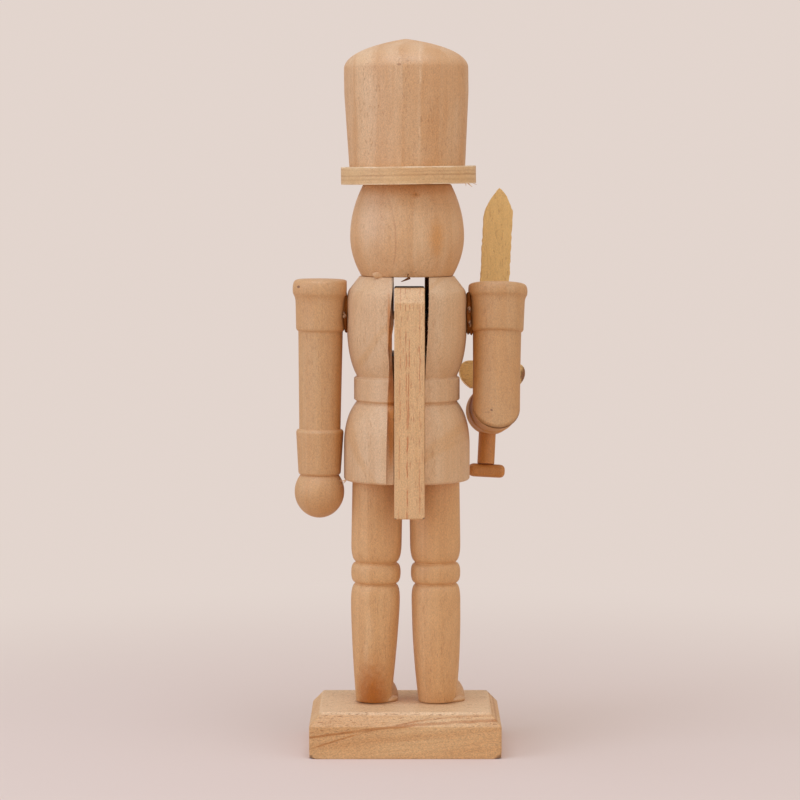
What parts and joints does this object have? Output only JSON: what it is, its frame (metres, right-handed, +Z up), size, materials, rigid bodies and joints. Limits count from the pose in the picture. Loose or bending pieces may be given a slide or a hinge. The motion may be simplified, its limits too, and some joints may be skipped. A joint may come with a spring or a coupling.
{
  "type": "unpainted wooden nutcracker",
  "caption": "Bare wooden nutcracker soldier on a bevelled base, with a turned body, tall hat, sword in its bent right arm and a hinged jaw worked by a lever at the back.",
  "frame": {"origin": "centre of the base's underside", "axes": "+Z up from the base to the hat; the face looks along -Y and the lever is at the back, +Y; the figure's left is +X"},
  "size_m": [0.0828, 0.0632, 0.2519],
  "materials": {
    "turned_wood": "bare, sanded",
    "board_wood": "bare, sawn and sanded",
    "lever_wood": "bare, planed",
    "steel": "plain wire"
  },
  "bodies": {
    "figure": {"base": "turned_wood", "left_leg": "turned_wood", "right_leg": "turned_wood", "left_base_screw": "steel", "right_base_screw": "steel", "left_shoe": "turned_wood", "right_shoe": "turned_wood", "torso": "turned_wood", "pivot_pin": "steel", "left_neck_dowel": "turned_wood", "right_neck_dowel": "turned_wood", "head": "turned_wood", "nose": "turned_wood", "brim": "board_wood", "hat": "turned_wood", "hat_dowel": "turned_wood", "left_shoulder_dowel": "turned_wood", "right_shoulder_dowel": "turned_wood", "left_arm": "turned_wood", "right_upper_arm": "turned_wood", "right_forearm": "turned_wood", "elbow_brad": "steel", "sword_guard": "board_wood", "sword_blade": "board_wood", "sword_grip": "turned_wood", "sword_pommel": "turned_wood"},
    "lever": {"jaw_lever": "lever_wood"}
  },
  "joints": [
    {"name": "lever_lift", "type": "hinge", "parent": "figure", "child": "lever", "pos_m": [0, 0.008, 0.15479], "axis": [1, 0, 0], "range_deg": [0, 18]}
  ]
}
